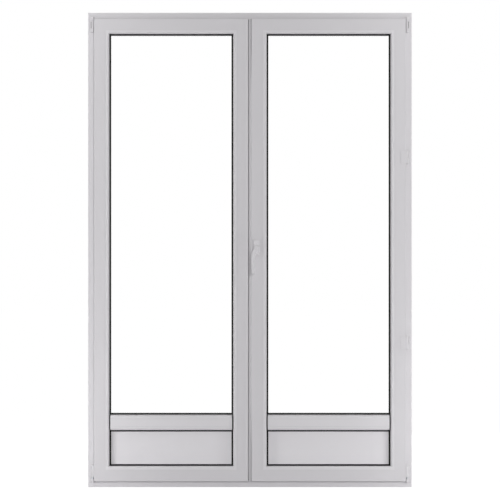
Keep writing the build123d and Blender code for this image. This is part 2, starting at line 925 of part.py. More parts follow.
bolts = (
    ("left_top_bolt", body_high + bolt_throw - bolt_length, body_high + bolt_throw, top_thumb),
    ("left_bottom_bolt", body_low - bolt_throw, body_low - bolt_throw + bolt_length, bottom_thumb),
)
for name, low, high, thumb in bolts:
    with BuildPart() as flush_bolt:
        add(upright(bolt_x, chamber_y, low, high, bolt_radius))
        pad_x = astragal_x1 + slot_running
        add(
            block(
                bolt_x,
                pad_x,
                chamber_y - thumb_neck / 2,
                chamber_y + thumb_neck / 2,
                thumb - thumb_neck,
                thumb + thumb_neck,
            )
        )
        add(
            block(
                pad_x,
                pad_x + thumb_height,
                chamber_y - thumb_width / 2,
                chamber_y + thumb_width / 2,
                thumb - thumb_length / 2,
                thumb + thumb_length / 2,
            )
        )
    finish(flush_bolt, name)

# Espagnolette in the right meeting stile: a toothed sector on the spindle drives a rack on the drive bar
gear_radius = gear_module * gear_teeth / 2
tooth_pitch = pi * gear_module
addendum = gear_module * addendum_share
dedendum = gear_module * dedendum_share
base_radius = gear_radius * cos(radians(pressure_angle))
tip_radius = gear_radius + addendum
root_radius = gear_radius - dedendum
tooth_at_pitch = (tooth_pitch - backlash) / 2
travel = gear_radius * pi / 2
gear_room = groove_y - gear_thickness / 2
gear_out = groove_y + gear_thickness / 2
flank_steps = 3


def involute(radius):
    """How far an involute has turned from its base circle, in radians, at a radius."""
    angle = acos(min(1, base_radius / radius))
    return tan(angle) - angle


def tooth_half_angle(radius):
    """Half the angle that a gear tooth takes at a radius."""
    start = tooth_at_pitch / (2 * gear_radius) + involute(gear_radius)
    return start - involute(max(radius, base_radius))


def polar(radius, angle):
    return (spindle_x + radius * cos(angle), handle_height + radius * sin(angle))


radii = [root_radius] + [
    base_radius + (tip_radius - base_radius) * step / flank_steps for step in range(flank_steps + 1)
]
sector = [(spindle_x, handle_height)]
for tooth in range(gear_first, gear_last + 1):
    middle = 2 * pi * tooth / gear_teeth
    sector += [polar(radius, middle - tooth_half_angle(radius)) for radius in radii]
    sector += [polar(radius, middle + tooth_half_angle(radius)) for radius in reversed(radii)]
spindle_half = spindle_square / 2
square = rect(
    spindle_x - spindle_half,
    spindle_x + spindle_half,
    handle_height - spindle_half,
    handle_height + spindle_half,
)

with BuildPart() as drive_gear:
    add(slab(gear_room, gear_out, sector))
    add(level(spindle_x, handle_height, groove_low, groove_high, gear_hub_radius))
    add(slab(groove_low, groove_high, square), mode=Mode.SUBTRACT)
finish(drive_gear, "drive_gear")

rack_tip_x = spindle_x + gear_radius - addendum
rack_root_x = spindle_x + gear_radius + dedendum
rack_back_x = rack_root_x + rack_back
tip_half = tooth_at_pitch / 2 - addendum * tan(radians(pressure_angle))
root_half = tooth_at_pitch / 2 + dedendum * tan(radians(pressure_angle))
bar_x = case_x + bar_running
yoke_high = handle_height + tip_radius + rack_spare
yoke_low = handle_height - tip_radius - rack_spare - travel

with BuildPart() as drive_rack:
    yoke = [
        (bar_x, yoke_low - yoke_arm),
        (rack_back_x, yoke_low - yoke_arm),
        (rack_back_x, yoke_high + yoke_arm),
        (bar_x, yoke_high + yoke_arm),
        (bar_x, yoke_high),
        (rack_root_x, yoke_high),
    ]
    for tooth in range(gear_last, gear_first - 2, -1):
        middle = handle_height + tooth_pitch * tooth + tooth_pitch / 2
        yoke += [
            (rack_root_x, middle + root_half),
            (rack_tip_x, middle + tip_half),
            (rack_tip_x, middle - tip_half),
            (rack_root_x, middle - root_half),
        ]
    yoke += [(rack_root_x, yoke_low), (bar_x, yoke_low)]
    add(slab(gear_room, gear_out, yoke))
finish(drive_rack, "drive_rack")

edge_x = half_gap + lip

with BuildPart() as drive_bar:
    for low, high in ((bar_low, yoke_low - yoke_arm), (yoke_high + yoke_arm, bar_high)):
        half = bar_width / 2
        add(block(bar_x, bar_x + bar_thickness, groove_y - half, groove_y + half, low, high))
    for height in cam_heights:
        add(crossing(groove_y, height, edge_x - cam_reach, bar_x, cam_radius))
finish(drive_bar, "drive_bar")

with BuildPart() as faceplate:
    add(block(edge_x, case_x, seat_low, seat_high, plate_low, plate_high))
    for height in cam_heights:
        half = cam_radius + cam_running
        add(
            block(edge_x, case_x, groove_y - half, groove_y + half, height - half, height + travel + half),
            mode=Mode.SUBTRACT,
        )
finish(faceplate, "right_faceplate")

with BuildPart() as gearbox_case:
    case_low, case_high = handle_height - case_half, handle_height + case_half
    wall_x = bar_x + bar_thickness + pocket_clearance
    for room, out in ((groove_low, groove_low + case_plate), (groove_high - case_plate, groove_high)):
        add(block(case_x, case_back_x, room, out, case_low, case_high))
    add(block(case_back_x - case_plate, case_back_x, groove_low, groove_high, case_low, case_high))
    for low in (case_low, case_high - case_plate):
        add(block(wall_x, case_back_x, groove_low, groove_high, low, low + case_plate))
    hole = gear_hub_radius + hub_running
    add(level(spindle_x, handle_height, groove_low, groove_high, hole), mode=Mode.SUBTRACT)
finish(gearbox_case, "right_gearbox_case")

# Handle
rosette_y = sash_y - rosette_thickness
with BuildPart() as rosette:
    plate = rect(
        spindle_x - rosette_width / 2,
        spindle_x + rosette_width / 2,
        handle_height - rosette_height / 2,
        handle_height + rosette_height / 2,
    )
    add(slab(rosette_y, sash_y, plate, rounds=[(corner, rosette_corner) for corner in plate]))
    add(level(spindle_x, handle_height, rosette_y, sash_y, neck_radius + neck_running), mode=Mode.SUBTRACT)
finish(rosette, "right_rosette")

# The lever: a grip that bows out of a round boss, on a neck that turns in the rosette
grip_room = sash_y - lever_stand - lever_thickness / 2
grip_out = grip_room + lever_thickness
bow_height = handle_height - lever_drop * lever_bow_share
tip_height = handle_height - lever_drop + lever_tip
bow_left = spindle_x - lever_crank - lever_width / 2
bow_right = bow_left + lever_width
boss_left = (spindle_x - lever_boss_radius, handle_height)
boss_right = (spindle_x + lever_boss_radius, handle_height)
tip_left = (bow_left + lever_taper, tip_height)
tip_right = (bow_right, tip_height)
tip_foot = ((tip_left[0] + tip_right[0]) / 2, tip_height - lever_tip)
with BuildPart() as handle_lever:
    with BuildSketch(facing(grip_out)) as outline:
        with BuildLine():
            ThreePointArc(boss_right, (spindle_x, handle_height + lever_boss_radius), boss_left)
            ThreePointArc(boss_left, (bow_left, bow_height), tip_left)
            ThreePointArc(tip_left, tip_foot, tip_right)
            ThreePointArc(tip_right, (bow_right, bow_height), boss_right)
        make_face()
        for corner in (boss_left, boss_right, tip_left, tip_right):
            near = outline.vertices().sort_by_distance(Vector(corner[0], corner[1], 0))
            fillet(near[0], radius=lever_shoulder if corner[1] == handle_height else lever_tip_round)
    extrude(amount=lever_thickness)
    faces = handle_lever.faces().sort_by(Axis.Y)
    chamfer(faces[0].edges() + faces[-1].edges(), length=lever_bevel)
    add(level(spindle_x, handle_height, grip_out, sash_y, neck_radius))
    add(slab(grip_out, sash_y, square), mode=Mode.SUBTRACT)
finish(handle_lever, "handle_lever")

with BuildPart() as spindle:
    add(slab(grip_out, groove_high, square))
finish(spindle, "handle_spindle")
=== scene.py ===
import json
import math

import bmesh
import bpy
import numpy as np
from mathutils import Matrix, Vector


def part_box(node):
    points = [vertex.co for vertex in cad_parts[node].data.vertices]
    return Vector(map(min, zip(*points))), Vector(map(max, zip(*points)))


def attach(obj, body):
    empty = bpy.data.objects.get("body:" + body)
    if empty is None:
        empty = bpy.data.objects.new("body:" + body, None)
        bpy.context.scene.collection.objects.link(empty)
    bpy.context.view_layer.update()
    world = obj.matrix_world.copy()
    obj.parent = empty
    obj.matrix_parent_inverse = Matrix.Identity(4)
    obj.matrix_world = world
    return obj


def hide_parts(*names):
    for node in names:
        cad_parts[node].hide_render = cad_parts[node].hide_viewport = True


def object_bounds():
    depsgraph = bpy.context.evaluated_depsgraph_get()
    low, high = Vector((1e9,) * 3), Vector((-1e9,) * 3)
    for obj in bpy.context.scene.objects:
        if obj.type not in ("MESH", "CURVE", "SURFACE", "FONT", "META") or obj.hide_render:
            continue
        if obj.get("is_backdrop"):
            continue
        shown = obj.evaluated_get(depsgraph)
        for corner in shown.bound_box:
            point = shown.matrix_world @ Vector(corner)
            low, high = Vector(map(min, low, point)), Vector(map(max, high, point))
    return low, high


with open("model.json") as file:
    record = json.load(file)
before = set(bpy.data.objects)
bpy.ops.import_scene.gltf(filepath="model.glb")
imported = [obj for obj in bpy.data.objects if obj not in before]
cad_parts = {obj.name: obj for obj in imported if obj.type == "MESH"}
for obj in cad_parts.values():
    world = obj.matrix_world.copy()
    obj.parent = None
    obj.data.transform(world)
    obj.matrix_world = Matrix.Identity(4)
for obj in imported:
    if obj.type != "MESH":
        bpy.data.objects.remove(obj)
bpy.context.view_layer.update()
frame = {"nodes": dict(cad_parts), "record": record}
nodes = frame["nodes"]
scene = bpy.context.scene
mm = 0.001
print("frame loaded:", len(nodes), "nodes")


def hexLinear(code):  # sRGB hex to linear red, green, blue and alpha
    srgb = np.array([int(code[i:i + 2], 16) for i in (1, 3, 5)]) / 255.0
    linear = np.where(srgb <= 0.04045, srgb / 12.92, ((srgb + 0.055) / 1.055) ** 2.4)
    return (*linear.tolist(), 1.0)


def put(tree, kind, settings=None, values=None, links=None):  # one node: settings, fixed inputs, links
    node = tree.nodes.new(kind)
    for name, value in (settings or {}).items():
        setattr(node, name, value)
    for socket, value in (values or {}).items():
        node.inputs[socket].default_value = value
    for socket, source in (links or {}).items():
        tree.links.new(source, node.inputs[socket])
    return node


def startMaterial(name):  # an empty tree and the object's own coordinates
    material = bpy.data.materials.new(name)
    material.use_nodes = True
    tree = material.node_tree
    tree.nodes.clear()
    return material, tree, put(tree, "ShaderNodeTexCoord").outputs["Object"]


def noise(tree, place, sizeMm, detail):
    return put(tree, "ShaderNodeTexNoise", values={"Scale": 1000 / sizeMm, "Detail": detail},
               links={"Vector": place}).outputs["Fac"]


def mapped(tree, value, start, end=(0.0, 1.0)):  # one range of a value carried over to another
    limits = zip(("From Min", "From Max", "To Min", "To Max"), (*start, *end))
    return put(tree, "ShaderNodeMapRange", values=dict(limits), links={"Value": value}).outputs["Result"]


def mixed(tree, share, dark, light):  # two colours, each a hex code or a link
    values, links = {}, {0: share}
    for socket, tone in ((6, dark), (7, light)):
        if isinstance(tone, str):
            values[socket] = hexLinear(tone)
        else:
            links[socket] = tone
    return put(tree, "ShaderNodeMix", {"data_type": "RGBA"}, values, links).outputs[2]


def bumped(tree, height, strength, depthMm, normal=None):
    links = {"Height": height}
    if normal is not None:
        links["Normal"] = normal
    values = {"Strength": strength, "Distance": depthMm * mm}
    return put(tree, "ShaderNodeBump", values=values, links=links).outputs["Normal"]


def principled(tree, values, rough, normal, colour=None):
    links = {"Roughness": rough, "Normal": normal}
    if colour is not None:
        links["Base Color"] = colour
    shader = put(tree, "ShaderNodeBsdfPrincipled", values=values, links=links)
    put(tree, "ShaderNodeOutputMaterial", links={"Surface": shader.outputs["BSDF"]})


# Extruded uPVC: the die and the calibrator leave a satin skin with faint lines along the bar.
# The lines are finer on a real bar and are drawn 4 mm apart, so that they can show at all.
# The tone drops a little where two faces meet closely: painted shade, read from ambient occlusion.
pvcSettings = {
    # Frame and beads are the same PVC as the sash but get lighter tones: painted light against the shade on
    # the recessed frame and the sloping beads.
    "tones": {"frame": ("#DBD9DC", "#D7D5D8"), "sash": ("#D7D5D8", "#D3D1D4"),
              "bead": ("#DFDDE0", "#DBD9DC")},
    "joint": "#BDBBBF", "paintedShadeMm": 2.5, "paintedShadeRange": (0.05, 0.45), "paintedShadeSamples": 6,
    "noiseRange": (0.3, 0.7), "rough": (0.30, 0.42), "ior": 1.53,
    "lineMm": 4.0, "runMm": 900.0, "lineDetail": 2.0, "lineBump": (0.35, 0.03),  # strength, then depth
    "cloudMm": 420.0, "cloudDetail": 3.0, "skinMm": 1.6, "skinDetail": 2.0, "skinBump": (0.3, 0.012),
}


def extrudedPvc(part, run):
    # The part picks the tone. The lines follow the run, "x" or "z"; in a "loop" they aren't drawn out.
    s = pvcSettings
    light, dark = s["tones"][part]
    along = s["lineMm"] / s["runMm"]
    stretch = {"x": (along, 1, 1), "z": (1, 1, along), "loop": (1, 1, 1)}[run]
    material, tree, place = startMaterial(f"extrudedPvc{part.title()}{run.title()}")
    drawn = put(tree, "ShaderNodeMapping", values={"Scale": stretch}, links={"Vector": place})
    lines = noise(tree, drawn.outputs["Vector"], s["lineMm"], s["lineDetail"])
    cloud = noise(tree, place, s["cloudMm"], s["cloudDetail"])
    skin = noise(tree, place, s["skinMm"], s["skinDetail"])
    # Painted shade: the tone darkens where ambient occlusion finds another face within a few millimetres.
    near = put(tree, "ShaderNodeAmbientOcclusion", {"samples": s["paintedShadeSamples"]},
               {"Distance": s["paintedShadeMm"] * mm})
    paintedShadeMask = mapped(tree, near.outputs["AO"], s["paintedShadeRange"])
    colour = mixed(tree, paintedShadeMask, s["joint"], mixed(tree, cloud, dark, light))
    rough = mapped(tree, lines, s["noiseRange"], s["rough"])
    grain = bumped(tree, skin, *s["skinBump"], bumped(tree, lines, *s["lineBump"]))
    principled(tree, {"IOR": s["ior"]}, rough, grain, colour)
    return material


# Moulded, sprayed and plated finishes share one recipe: a tone that drifts, long waves and a fine grain
# in the skin, and an edge tone where the surface turns sharply. Where the edge tone is lighter it is a
# painted highlight; on the hinge it is darker, where the powder is thin. Sizes are in millimetres.
recipeSettings = {"grainDetail": 3.0, "waveDetail": 2.0, "noiseRange": (0.3, 0.7), "bump": 0.4,
                  "edgeSamples": 4, "edgeRange": (0.995, 0.80), "edgeShare": (0.0, 0.6)}
coatSettings = {
    "pressedPvcSheet": {  # filled panel: flatter and a little glossier than the bars
        "tone": ("#E5E3E6", "#E2E0E3"), "edge": "#E9E7EA", "edgeMm": 0.5, "rough": (0.31, 0.34),
        "grain": (2.2, 0.008), "wave": (180.0, 0.02), "fixed": {"IOR": 1.53}},
    "mouldedAsa": {  # end caps and drain hoods: fine spark-eroded grain, matt
        "tone": ("#D8D7D9", "#D1CFD2"), "edge": "#E0DFE1", "edgeMm": 0.5, "rough": (0.44, 0.56),
        "grain": (0.8, 0.04), "wave": (14.0, 0.03), "fixed": {"IOR": 1.50}},
    "powderCoatedHinge": {  # zinc casting under powder: orange peel, thin on the edges
        "tone": ("#D8D6D9", "#D3D1D4"), "edge": "#C8C6C9", "edgeMm": 0.5, "rough": (0.30, 0.42),
        "grain": (1.4, 0.03), "wave": (6.0, 0.03), "fixed": {"IOR": 1.52}},
    "powderCoatedHandle": {  # aluminium casting under powder, with a painted highlight on its lighter edges
        "tone": ("#DFDDE0", "#DAD8DB"), "edge": "#E8E6E9", "edgeMm": 0.8, "rough": (0.25, 0.36),
        "grain": (1.2, 0.02), "wave": (5.0, 0.03), "fixed": {"IOR": 1.52}},
    "extrudedEpdm": {  # black seal rubber: dull, with a bloom that greys it in patches
        "tone": ("#0E0E0F", "#070708"), "edge": "#1B1B1D", "edgeMm": 0.4, "rough": (0.58, 0.74),
        "grain": (0.9, 0.03), "wave": (30.0, 0.04), "fixed": {"IOR": 1.52, "Specular IOR Level": 0.3}},
    "mouldedPolypropylene": {  # glazing packers: waxy blue-grey
        "tone": ("#4A5E86", "#3D5078"), "edge": "#6377A0", "edgeMm": 0.5, "rough": (0.45, 0.60),
        "grain": (1.0, 0.04), "wave": (12.0, 0.05), "fixed": {"IOR": 1.49}},
    "zincPlatedSteel": {  # bright plate over rolled strip, with a soft bluish drift
        "tone": ("#CDCFD2", "#B9BCC2"), "edge": "#DEE0E2", "edgeMm": 0.4, "rough": (0.24, 0.42),
        "grain": (0.7, 0.02), "wave": (18.0, 0.02), "fixed": {"Metallic": 1.0}},
    "millAluminium": {  # spacer bar: rolled strip, satin
        "tone": ("#CFD0D2", "#BFC1C3"), "edge": "#E0E1E2", "edgeMm": 0.4, "rough": (0.30, 0.46),
        "grain": (1.5, 0.02), "wave": (40.0, 0.02), "fixed": {"Metallic": 1.0}},
}


def coat(name):
    s, r = coatSettings[name], recipeSettings
    grainMm, grainDepth = s["grain"]
    waveMm, waveDepth = s["wave"]
    light, dark = s["tone"]
    material, tree, place = startMaterial(name)
    grain = noise(tree, place, grainMm, r["grainDetail"])
    wave = noise(tree, place, waveMm, r["waveDetail"])
    soft = put(tree, "ShaderNodeBevel", {"samples": r["edgeSamples"]}, {"Radius": s["edgeMm"] * mm})
    face = put(tree, "ShaderNodeNewGeometry")
    apart = put(tree, "ShaderNodeVectorMath", {"operation": "DOT_PRODUCT"},
                links={0: soft.outputs["Normal"], 1: face.outputs["Normal"]})
    edgeHighlightAndWear = mapped(tree, apart.outputs["Value"], r["edgeRange"], r["edgeShare"])
    # Lighter edges are a painted highlight; the hinge's darker edge is its thin powder.
    colour = mixed(tree, edgeHighlightAndWear, mixed(tree, wave, dark, light), s["edge"])
    rough = mapped(tree, wave, r["noiseRange"], s["rough"])
    waved = bumped(tree, wave, r["bump"], waveDepth, soft.outputs["Normal"])
    principled(tree, s["fixed"], rough, bumped(tree, grain, r["bump"], grainDepth, waved), colour)
    return material


# Hot-dip galvanised steel: zinc crystals about 9 mm across, each with its own grey and gloss.
spangleSettings = {"cellMm": 9.0, "tone": ("#B9BDC0", "#8F9498"), "rough": (0.34, 0.55), "bump": (0.2, 0.05),
                   "fixed": {"Metallic": 1.0}}


def galvanisedSteel():
    s = spangleSettings
    light, dark = s["tone"]
    material, tree, place = startMaterial("galvanisedSteel")
    cells = put(tree, "ShaderNodeTexVoronoi", values={"Scale": 1000 / s["cellMm"]}, links={"Vector": place})
    split = put(tree, "ShaderNodeSeparateColor", links={"Color": cells.outputs["Color"]})
    tone = mixed(tree, split.outputs["Red"], dark, light)
    rough = mapped(tree, split.outputs["Green"], (0.0, 1.0), s["rough"])
    principled(tree, s["fixed"], rough, bumped(tree, cells.outputs["Distance"], *s["bump"]), tone)
    return material


# Soda-lime float glass: clear, with long waves from the tin bath that bend reflections a little,
# and a thin film of dust in patches.
glassSettings = {"waveMm": 160.0, "waveDetail": 1.0, "bump": (0.2, 0.02), "filmMm": 35.0, "filmDetail": 4.0,
                 "filmRange": (0.5, 0.8), "rough": (0.0, 0.02),
                 "fixed": {"Base Color": (1, 1, 1, 1), "IOR": 1.52, "Transmission Weight": 1.0}}


def floatGlass():
    s = glassSettings
    material, tree, place = startMaterial("floatGlass")
    wave = noise(tree, place, s["waveMm"], s["waveDetail"])
    film = noise(tree, place, s["filmMm"], s["filmDetail"])
    rough = mapped(tree, film, s["filmRange"], s["rough"])
    principled(tree, s["fixed"], rough, bumped(tree, wave, *s["bump"]))
    return material


finishes = {name: coat(name) for name in coatSettings}
partRuns = {"frame": ("x", "z", "loop"), "sash": ("x", "z", "loop"), "bead": ("x", "loop")}
for part, runs in partRuns.items():
    for run in runs:
        finishes[part + run] = extrudedPvc(part, run)
finishes["galvanisedSteel"] = galvanisedSteel()
finishes["floatGlass"] = floatGlass()
slotFinish = {
    "white_panel": "pressedPvcSheet", "white_plastic": "mouldedAsa", "white_hinge": "powderCoatedHinge",
    "white_handle": "powderCoatedHandle", "galvanised_steel": "galvanisedSteel",
    "zinc_plated_steel": "zincPlatedSteel", "spacer_aluminium": "millAluminium", "black_seal": "extrudedEpdm",
    "packer_plastic": "mouldedPolypropylene", "clear_glass": "floatGlass",
}
frameBars = {"head": "framex", "sill": "framex", "left_jamb": "framez", "right_jamb": "framez"}
for row in frame["record"]["subparts"]:
    name = row["node"]
    finish = slotFinish.get(row["material_slot"]) or frameBars.get(name)
    if finish is None:  # a bar or a bead of a leaf
        # The middle rails take the lighter bead tone: painted light, so that they read as bright as the
        # stiles.
        finish = "beadx" if "mid_rail" in name else "sashx" if "rail" in name else "sashz"
    data = nodes[name].data
    data.materials.clear()
    data.materials.append(finishes[finish])
print("finishes:", len(finishes))


meshSettings = {"mergeMm": 0.001, "crease": 40.0}


def meshPiece(name, patches, body, slot, creaseDeg=meshSettings["crease"], replaced=(), finish=None):
    # One object from patches of points[u, v]: each says if it closes along u, along v, and is capped in u.
    points, faces, start = [], [], 0
    for grid, closeU, closeV, capped in patches:
        rows, cols = grid.shape[:2]
        index = np.arange(rows * cols).reshape(rows, cols) + start
        u, v = np.meshgrid(np.arange(rows - (not closeU)), np.arange(cols - (not closeV)), indexing="ij")
        nextU, nextV = (u + 1) % rows, (v + 1) % cols
        quads = [index[u, v], index[nextU, v], index[nextU, nextV], index[u, nextV]]
        faces += np.stack(quads, axis=-1).reshape(-1, 4).tolist()
        if capped:
            faces += [index[0].tolist(), index[-1][::-1].tolist()]
        points.append(grid.reshape(-1, 3) * mm)
        start += rows * cols
    mesh = bpy.data.meshes.new(name)
    mesh.from_pydata(np.concatenate(points).tolist(), [], faces)
    shell = bmesh.new()
    shell.from_mesh(mesh)
    bmesh.ops.remove_doubles(shell, verts=shell.verts, dist=meshSettings["mergeMm"] * mm)
    bmesh.ops.recalc_face_normals(shell, faces=shell.faces)
    shell.to_mesh(mesh)
    shell.free()
    mesh.polygons.foreach_set("use_smooth", np.ones(len(mesh.polygons), dtype=bool))
    mesh.set_sharp_from_angle(angle=math.radians(creaseDeg))
    mesh.materials.append(finishes[finish or slotFinish[slot]])
    piece = bpy.data.objects.new(name, mesh)
    scene.collection.objects.link(piece)
    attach(piece, body)
    if replaced:
        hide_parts(*replaced)


def span(*names):  # lowest and highest corner of some nodes, in millimetres
    boxes = np.array([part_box(name) for name in names]) / mm
    return boxes[:, 0].min(axis=0), boxes[:, 1].max(axis=0)


def ringOf(low, high, inset=0.0):  # the corners of a rectangle in the plane of the door, anticlockwise
    x0, x1, z0, z1 = low[0] + inset, high[0] - inset, low[2] + inset, high[2] - inset
    return [(x0, z0), (x1, z0), (x1, z1), (x0, z1)]


def pathSweep(profile, corners, closed):
    # A profile of (inward, depth) carried along a path in the plane of the door. At a corner the inward
    # step follows the mitre: the sum of the two sides' normals over one plus their dot product.
    path = np.array(corners, dtype=float)
    ahead = np.roll(path, -1, axis=0) - path
    ahead /= np.linalg.norm(ahead, axis=1)[:, None]
    after = np.column_stack([-ahead[:, 1], ahead[:, 0]])
    before = np.roll(after, 1, axis=0)
    if not closed:
        after[-1] = after[-2]
        before[0] = after[0]
    mitre = (after + before) / (1 + (after * before).sum(axis=1))[:, None]
    flat = path[:, None, :] + mitre[:, None, :] * profile[None, :, :1]
    depth = np.broadcast_to(profile[None, :, 1], flat.shape[:2])
    return np.stack([flat[..., 0], depth, flat[..., 1]], axis=-1), closed, True, not closed


def runSweep(profile, start, end, side, out):
    # A profile of (across, rise) carried straight from start to end: across follows side, rise follows out.
    ends = np.array([start, end], dtype=float)
    across = profile[:, :1] * np.array(side) + profile[:, 1:] * np.array(out)
    return ends[:, None, :] + across[None], False, True, True


def smoothCurve(controls, steps):
    # Catmull-Rom: a cubic through the controls whose slope at each is half the step between its neighbours.
    p = np.vstack([2 * controls[0] - controls[1], controls, 2 * controls[-1] - controls[-2]])
    t = np.linspace(0, len(controls) - 1, steps)
    k = np.minimum(t.astype(int), len(controls) - 2)
    f = (t - k)[:, None]
    a, b, c, d = p[k], p[k + 1], p[k + 2], p[k + 3]
    square = 2 * a - 5 * b + 4 * c - d
    cube = 3 * b - a - 3 * c + d
    return 0.5 * (2 * b + (c - a) * f + square * f ** 2 + cube * f ** 3)


def rectangle(across, depth):
    (x0, x1), (y0, y1) = across, depth
    return np.array([(x0, y0), (x1, y0), (x1, y1), (x0, y1)])


def rolledRun(outline, start, end, s, upright=True):
    # An outline carried straight along Z where upright, otherwise along X. At each end it is drawn in by
    # r(1 - sin t) while the run moves by r(1 - cos t).
    centre = outline.mean(axis=0)
    turn = np.linspace(0, np.pi / 2, s["steps"])
    ends = s["roll"] * (1 - np.cos(turn))
    inset = s["roll"] * (1 - np.sin(turn)) / np.abs(outline - centre).max()
    along = np.concatenate([start + ends, (end - ends)[::-1]])
    shrink = 1 - np.concatenate([inset, inset[::-1]])
    flat = centre + (outline - centre) * shrink[:, None, None]
    along = np.broadcast_to(along[:, None], flat.shape[:2])
    return np.dstack([flat, along] if upright else [along, flat]), False, True, True


def turnedPatch(line, centre, around, upright):
    # A line of (along, radius) turned about an axis along Z where upright, otherwise along Y.
    turn = np.linspace(0, 2 * np.pi, around, endpoint=False)
    a = centre[0] + line[:, 1:] * np.cos(turn)
    b = centre[1] + line[:, 1:] * np.sin(turn)
    along = np.broadcast_to(line[:, :1], a.shape)
    return np.stack([a, b, along] if upright else [a, along, b], axis=-1), False, True, True


sides = {"left": -1, "right": 1}

# Glazing beads: a flat, a fine quirk and a roll that falls to the glass, mitred round each leaf and
# run along both edges of the middle rail.
beadSettings = {"floor": 53.1, "sight": 70.0, "flat": 4.0, "quirk": 2.2, "quirkDepth": 0.5, "square": 2.2,
                "ease": 0.4, "noseRise": 14.0, "quirkSteps": 9, "rollSteps": 22, "endGap": 7.1,
                "crease": 30.0}


def beadProfile(face, heel):
    # The quirk is one wave of a cosine. In the roll (a/w)^n + (d/h)^n = 1, drawn with powers of sin and cos.
    s = beadSettings
    wave = np.linspace(0, 2 * np.pi, s["quirkSteps"])
    start = s["floor"] + s["flat"]
    quirk = np.column_stack([start + s["quirk"] * wave / (2 * np.pi),
                             face + s["quirkDepth"] * (1 - np.cos(wave)) / 2])
    turn = np.linspace(0, np.pi / 2, s["rollSteps"])[1:]
    rollStart = start + s["quirk"]
    across = rollStart + (s["sight"] - rollStart) * np.sin(turn) ** (2 / s["square"])
    depth = face + (heel - s["noseRise"] - face) * (1 - np.cos(turn) ** (2 / s["square"]))
    back = [(s["sight"], heel), (s["floor"], heel), (s["floor"], face + s["ease"]),
            (s["floor"] + s["ease"], face)]
    return np.vstack([quirk, np.column_stack([across, depth]), back])


for side in sides:
    s = beadSettings
    leafLow, leafHigh = span(f"{side}_hinge_stile", f"{side}_meeting_stile")
    railLow, railHigh = span(f"{side}_mid_rail_end_seals")
    profile = beadProfile(leafLow[1], span(f"{side}_beads")[1][1])
    patches = [pathSweep(profile, ringOf(leafLow, leafHigh), True)]
    middle = (railLow[2] + railHigh[2]) / 2
    half = (railHigh[2] - railLow[2]) / 2
    across = profile + np.array([half - s["sight"], 0.0])
    start = (railLow[0] + s["endGap"], 0, middle)
    end = (railHigh[0] - s["endGap"], 0, middle)
    patches += [runSweep(across, start, end, (0, 0, up), (0, 1, 0)) for up in (1, -1)]
    replaced = [f"{side}_beads"]
    meshPiece(f"{side}Beads", patches, f"{side}_leaf", "white_pvc", s["crease"], replaced, "beadloop")
print("beads made")

# Glazing gaskets: a soft lip that rolls from the bead down to the glass, with a wiping groove in it.
gasketSettings = {"bite": 12.0, "show": 8.0, "tuck": 6.0, "outShow": 3.0, "groove": 0.4,
                  "grooveShare": 0.3, "grooveWidth": 0.07, "power": 0.7, "steps": 36}


def lipProfile(show, heel, glass):
    # Across grows as sin^p and the fall as 1 - cos^p of a quarter turn, with a bell-shaped dip.
    s = gasketSettings
    turn = np.linspace(0, np.pi / 2, s["steps"])
    across = np.sin(turn) ** s["power"]
    fall = 1 - np.cos(turn) ** s["power"]
    dip = s["groove"] * np.exp(-((across - s["grooveShare"]) / s["grooveWidth"]) ** 2) * (1 - fall)
    lip = np.column_stack([show * across, heel + (glass - heel) * fall + np.sign(glass - heel) * dip])
    return np.vstack([[-s["tuck"], glass], [-s["tuck"], heel], lip])


for side in sides:
    s = gasketSettings
    inLow, inHigh = span(f"{side}_inner_gaskets")
    outLow, outHigh = span(f"{side}_outer_gaskets")
    lights = [ringOf(*span(f"{side}_{name}"), s["bite"]) for name in ("glass_panes", "panel")]
    inner = [pathSweep(lipProfile(s["show"], inLow[1], inHigh[1]), ring, True) for ring in lights]
    outer = [pathSweep(lipProfile(s["outShow"], outHigh[1], outLow[1]), ring, True) for ring in lights]
    meshPiece(f"{side}InnerGaskets", inner, f"{side}_leaf", "black_seal", replaced=[f"{side}_inner_gaskets"])
    meshPiece(f"{side}OuterGaskets", outer, f"{side}_leaf", "black_seal", replaced=[f"{side}_outer_gaskets"])
print("gaskets made")

# Rebate seals: a soft bulb on a flat foot, pressed in a little along its crown.
sealSettings = {"stopWidth": 4.0, "lipWidth": 3.0, "crown": 0.22, "crownWidth": 0.25, "power": 0.6,
                "steps": 28, "bottomArm": 56.0, "topArm": 32.0, "armGap": 1.0}


def bulbProfile(width, foot, tip):
    # Half a turn from foot to foot: rise is sin^p, with a bell-shaped dip at the crown.
    s = sealSettings
    turn = np.linspace(0, np.pi, s["steps"])
    dent = s["crown"] * np.exp(-((turn - np.pi / 2) / s["crownWidth"]) ** 2)
    rise = np.sin(turn) ** s["power"] * (1 - dent)
    return np.column_stack([width * (1 - np.cos(turn)) / 2, foot + (tip - foot) * rise])


